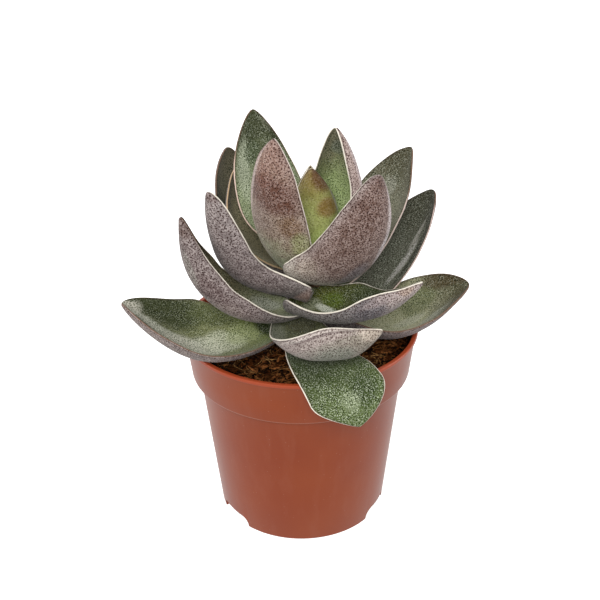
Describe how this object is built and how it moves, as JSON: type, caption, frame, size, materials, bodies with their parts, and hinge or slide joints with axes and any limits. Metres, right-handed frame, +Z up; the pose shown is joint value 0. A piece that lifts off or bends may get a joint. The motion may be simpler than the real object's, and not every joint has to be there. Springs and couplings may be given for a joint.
{
  "type": "potted succulent",
  "caption": "Small rosette succulent with pointed, cupped, fleshy leaves round a short stem, rooted in bark soil in a round plastic nursery pot.",
  "frame": {"origin": "centre of the pot's flat underside, on the surface that it stands on", "axes": "+Z up along the pot's axis, +X to the viewer's right, and -Y to the front, where the lowest leaf droops over the rim"},
  "size_m": [0.1207, 0.1016, 0.1515],
  "materials": {
    "pot": "satin",
    "soil": "rough",
    "stem": "matte",
    "leaf": "velvety"
  },
  "bodies": {
    "root": {"pot": "pot", "soil": "soil", "stem": "stem", "leaf_01": "leaf", "leaf_02": "leaf", "leaf_03": "leaf", "leaf_04": "leaf", "leaf_05": "leaf", "leaf_06": "leaf", "leaf_07": "leaf", "leaf_08": "leaf", "leaf_09": "leaf", "leaf_10": "leaf", "leaf_11": "leaf", "leaf_12": "leaf", "leaf_13": "leaf", "leaf_14": "leaf", "leaf_15": "leaf", "leaf_16": "leaf", "leaf_17": "leaf", "leaf_18": "leaf", "leaf_19": "leaf", "leaf_20": "leaf"}
  },
  "joints": []
}
